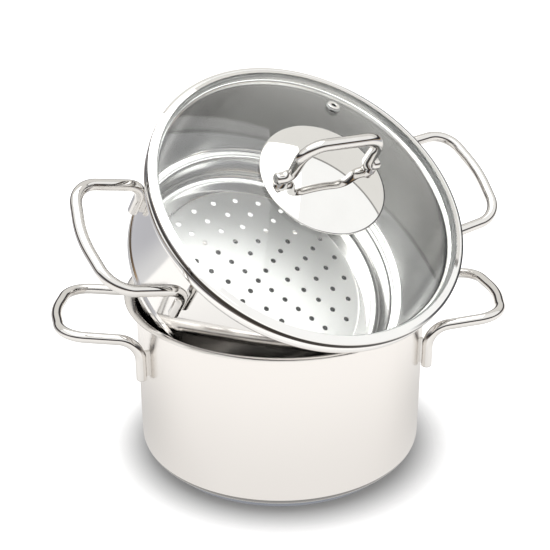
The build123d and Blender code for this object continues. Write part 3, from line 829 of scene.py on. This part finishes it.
def capSection(look):
    # round cap between two domes with a softened edge
    rim, edge, centre = look["radius"], look["edge"], domeCentre(look)
    low, high = look["dome"] - look["thickness"], look["dome"]
    lowEnd, highEnd = domeHeight(low, rim, centre), domeHeight(high, rim, centre)
    inner, outer = domePoints(low, 0, rim - edge, centre), domePoints(high, rim - edge, 0, centre)
    corner = [(rim, lowEnd + edge), (rim, highEnd - edge)]
    if highEnd - lowEnd < 2 * edge + meshing["leastFlat"]:
        corner = [(rim, (lowEnd + highEnd) / 2)]
    soft = edge * meshing["softShare"]
    return inner + [(rim - soft, lowEnd + soft)] + corner + [(rim - soft, highEnd - soft)] + outer


def ventPlace():
    angle = radians(vent["azimuth"])
    height = domeHeight(lidGlass["dome"], vent["fromAxis"])
    point = Vector((vent["fromAxis"] * cos(angle), vent["fromAxis"] * sin(angle), height))
    lift = point - Vector((0, 0, domeCentre(lidGlass)))
    turn = Vector((0, 0, 1)).rotation_difference(lift).to_matrix().to_4x4()
    return basketPlace @ Matrix.Translation(point * mm) @ turn


def makeGlass():
    look = lidGlass
    piece = closeShape(latheShape(capSection(look), look["turns"]), "lidGlass", basketPlace)
    low, high = look["drill"]
    bit = [(0, low), (vent["hole"], low), (vent["hole"], high), (0, high)]
    tool = closeShape(latheShape(bit, look["drillTurns"]), "ventDrill", ventPlace())
    cut = piece.modifiers.new("ventHole", "BOOLEAN")
    cut.operation, cut.solver, cut.object = "DIFFERENCE", "EXACT", tool
    evaluated = piece.evaluated_get(bpy.context.evaluated_depsgraph_get())
    mesh = bpy.data.meshes.new_from_object(evaluated)
    piece.modifiers.remove(cut)
    piece.data = mesh
    bpy.data.objects.remove(tool)
    finishPiece(piece, "lid", "clear_glass", domeGlass, "lid_glass")


def bevelled(radius, height, offsets):
    return [(radius + outwards, height + upwards) for outwards, upwards in offsets]


def makeLidRim():
    look = lidRim
    glass, edge, channel = lidGlass["dome"], look["chamfer"], look["channel"]
    foot, flangeTop, side = look["foot"], look["foot"] + look["flange"], look["radius"]
    lip, crown = look["topInner"], look["crown"]
    section = outline(
        (look["footInner"], foot), (side - edge, foot + edge, edge, 270, 360),
        *bevelled(side, look["sideTop"], look["sideBevel"]),
        *bevelled(crown, domeHeight(glass, crown) + look["cover"], look["crownBevel"]),
        *bevelled(lip, domeHeight(glass, lip), look["lipBevel"]),
        (channel, domeHeight(glass, channel)), (channel, flangeTop), (look["footInner"], flangeTop),
    )
    piece = closeShape(latheShape(section, look["turns"]), "lidRim", basketPlace)
    finishPiece(piece, "lid", "mirror_steel", bandSteel, "lid_rim")


def makePlate():
    look = lidPlate
    piece = closeShape(latheShape(capSection(look), look["turns"]), "lidPlate", basketPlace)
    finishPiece(piece, "lid", "mirror_steel", mirrorSteel, "lid_plate")


def makeLidHandle():
    look = lidHandle
    leg, foot = look["legSpacing"] / 2, look["footSpacing"] / 2
    low, high = look["footHeight"], look["barHeight"]
    corners = [(foot, low), (leg, low), (leg, high), (-leg, high), (-leg, low), (-foot, low)]
    corners = [(x, 0, z) for x, z in corners]
    bends = (look["footBend"], look["cornerBend"], look["cornerBend"], look["footBend"])
    piece = rodPiece("lidHandle", corners, bends, look, basketPlace, basketRodSteel)
    finishPiece(piece, "lid", "polished_steel", basketRodSteel, "lid_handle")


def makeVent():
    look = vent
    lowTop = -lidGlass["thickness"] - look["play"]
    lowFoot, flangeFoot = lowTop - look["lowerHeight"], look["seal"]
    head, neck = flangeFoot + look["flangeHeight"], look["hole"] - look["neckPlay"]
    lowerR = look["lowerFlange"]
    lowerEdge, flangeEdge, boreEdge = look["lowerEdge"], look["flangeEdge"], look["boreEdge"]
    section = outline(
        (look["bore"], lowFoot), (lowerR - lowerEdge, lowFoot + lowerEdge, lowerEdge, 270, 360),
        (lowerR, lowTop), (neck, lowTop), (neck, flangeFoot), (look["flange"], flangeFoot),
        (look["flange"] - flangeEdge, head - flangeEdge, flangeEdge, 0, 90),
        (look["bore"] + boreEdge, head - boreEdge, boreEdge, 90, 180),
    )
    piece = closeShape(latheShape(section, look["turns"]), "ventEyelet", ventPlace())
    finishPiece(piece, "lid", "polished_steel", mirrorSteel, "vent_eyelet")


makeGlass()
makeLidRim()
makePlate()
makeLidHandle()
makeVent()
print("lid made")

# CAD nodes that stay as they are get the finish of their piece
finishes = {
    "pot_base_core": coreMetal, "lid_rim_seal": sealSilicone, "lid_plate_seal": sealSilicone,
    "vent_seal": sealSilicone, "lid_bush_right": sealSilicone, "lid_bush_left": sealSilicone,
    "lid_spacer_right": basketRodSteel, "lid_spacer_left": basketRodSteel,
    "lid_screw_right": basketRodSteel, "lid_screw_left": basketRodSteel,
}
for name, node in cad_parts.items():
    if "_pad_" in name:
        finishes[name] = potRodSteel if name.startswith("pot_") else basketRodSteel
    if name in finishes:
        node.data.materials.clear()
        node.data.materials.append(finishes[name])
print("CAD nodes finished")


# Studio

def makeFloor():
    # the camera sees a white floor with a soft shadow, partly real and partly painted by a darker matt
    # colour and weaker glow near the foot, and steel and glass see a pale sheet on grey with painted shade
    # round the foot
    look, half = floorLook, floorLook["size"] / 2
    mesh = bpy.data.meshes.new("floor")
    corners = [(-half, -half, 0), (half, -half, 0), (half, half, 0), (-half, half, 0)]
    mesh.from_pydata(corners, [], [(0, 1, 2, 3)])
    floor = bpy.data.objects.new("floor", mesh)
    bpy.context.scene.collection.objects.link(floor)
    material, desk = newMaterial("paleFloor")
    path = desk.make("ShaderNodeLightPath")
    coordinates = desk.make("ShaderNodeTexCoord", None, None, "Object")
    own = desk.make("ShaderNodeSeparateXYZ", None, {"Vector": coordinates})
    x, y, reach = own.out("X"), own.out("Y"), fromAxis(own)
    # painted shadow: towards the pot's axis the matt colour darkens and the glow weakens, deepening the
    # shadow round the foot
    away = reach.between(*look["glowReach"])
    glow = look["shadowGlow"] + (look["glow"] - look["shadowGlow"]) * away
    white = desk.make("ShaderNodeEmission", None, {"Color": (1, 1, 1, 1), "Strength": glow})
    tint = desk.mixColour(away, (*look["shadowMatt"], 1), (*look["matt"], 1))
    ground = desk.make("ShaderNodeBsdfDiffuse", None, {"Color": tint})
    seen = desk.make("ShaderNodeAddShader", None, {0: ground, 1: white})
    (lowX, highX), lowY = look["sheetX"], look["sheetFront"]
    blur, backBlur = look["sheetBlur"], look["backBlur"]
    within = x.between(lowX - blur, lowX) * (highX - x).between(-blur, 0.0) * y.between(lowY - blur, lowY)
    beyond = y - x * look["backSlope"] - look["backOffset"]
    onSheet = within * (-beyond).between(-backBlur, backBlur)
    far = beyond.between(0.0, look["farWidth"]).apply("MAXIMUM", 1.0 - within)
    around = desk.mixColour(far, (*look["near"], 1), (*look["far"], 1))
    table = desk.mixColour(onSheet, around, (*look["sheet"], 1))
    atFoot = look["footShade"] - y.between(*look["backReach"]) * look["backShade"]
    shade = atFoot + (1.0 - atFoot) * reach.between(*look["shadeReach"])
    mirrored = desk.make("ShaderNodeEmission", None, {"Color": table, "Strength": shade})
    matt = desk.make("ShaderNodeBsdfDiffuse", None, {"Color": (*look["matt"], 1)})
    lit = desk.make("ShaderNodeMixShader", None, {0: path.out("Is Camera Ray"), 1: matt, 2: seen})
    reflected = path.out("Is Glossy Ray").apply("MAXIMUM", path.out("Is Transmission Ray"))
    closeMaterial(desk, desk.make("ShaderNodeMixShader", None, {0: reflected, 1: lit, 2: mirrored}))
    mesh.materials.append(material)


def makeRoom():
    # mirrored: a pale roof, a greyer back behind a thin dark edge, dark bands round the horizon
    look = roomLook
    world = bpy.data.worlds.new("studioRoom")
    bpy.context.scene.world = world
    world.use_nodes = True
    desk = nodeDesk(world.node_tree)
    path = desk.make("ShaderNodeLightPath")
    coordinates = desk.make("ShaderNodeTexCoord", None, None, "Generated")
    way = desk.make("ShaderNodeSeparateXYZ", None, {"Vector": coordinates})
    y, z = way.out("Y"), way.out("Z")
    level = z.between(-look["horizon"], look["horizon"], False)
    bands = desk.make("ShaderNodeValToRGB", {"stops": look["bands"]}, {"Fac": level})
    roofStart = look["roofStart"] + (-y).between(*look["cameraSide"]) * look["cameraRise"]
    above = (z - roofStart).between(0.0, look["roofBlur"])
    fromEdge = z * look["backSlope"] - y
    towardsFront = fromEdge.between(-look["backBlur"], look["backBlur"])
    ceiling = desk.mixColour(towardsFront, (*look["back"], 1), (*look["roof"], 1))
    offEdge = fromEdge.apply("ABSOLUTE").between(*look["edgeWidth"])
    ceiling = desk.mixColour(offEdge, (*look["edge"], 1), ceiling)
    through = path.out("Is Transmission Ray")
    strength = 1.0 + through * (look["roofInside"] - 1.0)
    roomColour = desk.mixColour(above, bands, ceiling)
    room = desk.make("ShaderNodeBackground", None, {"Color": roomColour, "Strength": strength})
    plain = desk.make("ShaderNodeBackground", None, {"Color": (1, 1, 1, 1), "Strength": look["light"]})
    white = desk.make("ShaderNodeBackground", None, {"Color": (1, 1, 1, 1), "Strength": 1.0})
    reflected = path.out("Is Glossy Ray").apply("MAXIMUM", through)
    lit = desk.make("ShaderNodeMixShader", None, {0: reflected, 1: plain, 2: room})
    final = desk.make("ShaderNodeMixShader", None, {0: path.out("Is Camera Ray"), 1: lit, 2: white})
    desk.make("ShaderNodeOutputWorld", None, {"Surface": final})


def makeLamp():
    data = bpy.data.lights.new("roofLamp", "AREA")
    data.shape, data.size, data.energy = "SQUARE", lampLook["size"], lampLook["energy"]
    lamp = bpy.data.objects.new("roofLamp", data)
    lamp.location = lampLook["place"]
    lamp.rotation_euler = lampLook["tilt"]
    bpy.context.scene.collection.objects.link(lamp)


def makeCamera():
    look = cameraView
    data = bpy.data.cameras.new("photoCamera")
    data.sensor_fit, data.sensor_width, data.lens = "HORIZONTAL", look["sensor"], look["lens"]
    data.clip_start = look["nearest"]
    camera = bpy.data.objects.new("photoCamera", data)
    forward = Vector(look["forward"]).normalized()
    right = forward.cross(Vector(look["up"])).normalized()
    up = right.cross(forward)
    turn = Matrix((right, up, -forward)).transposed()
    camera.matrix_world = Matrix.Translation(Vector(look["place"]) * mm) @ turn.to_4x4()
    bpy.context.scene.collection.objects.link(camera)
    bpy.context.scene.camera = camera


makeFloor()
makeRoom()
makeLamp()
makeCamera()
bpy.context.scene.view_settings.view_transform = "Standard"
print("studio made")
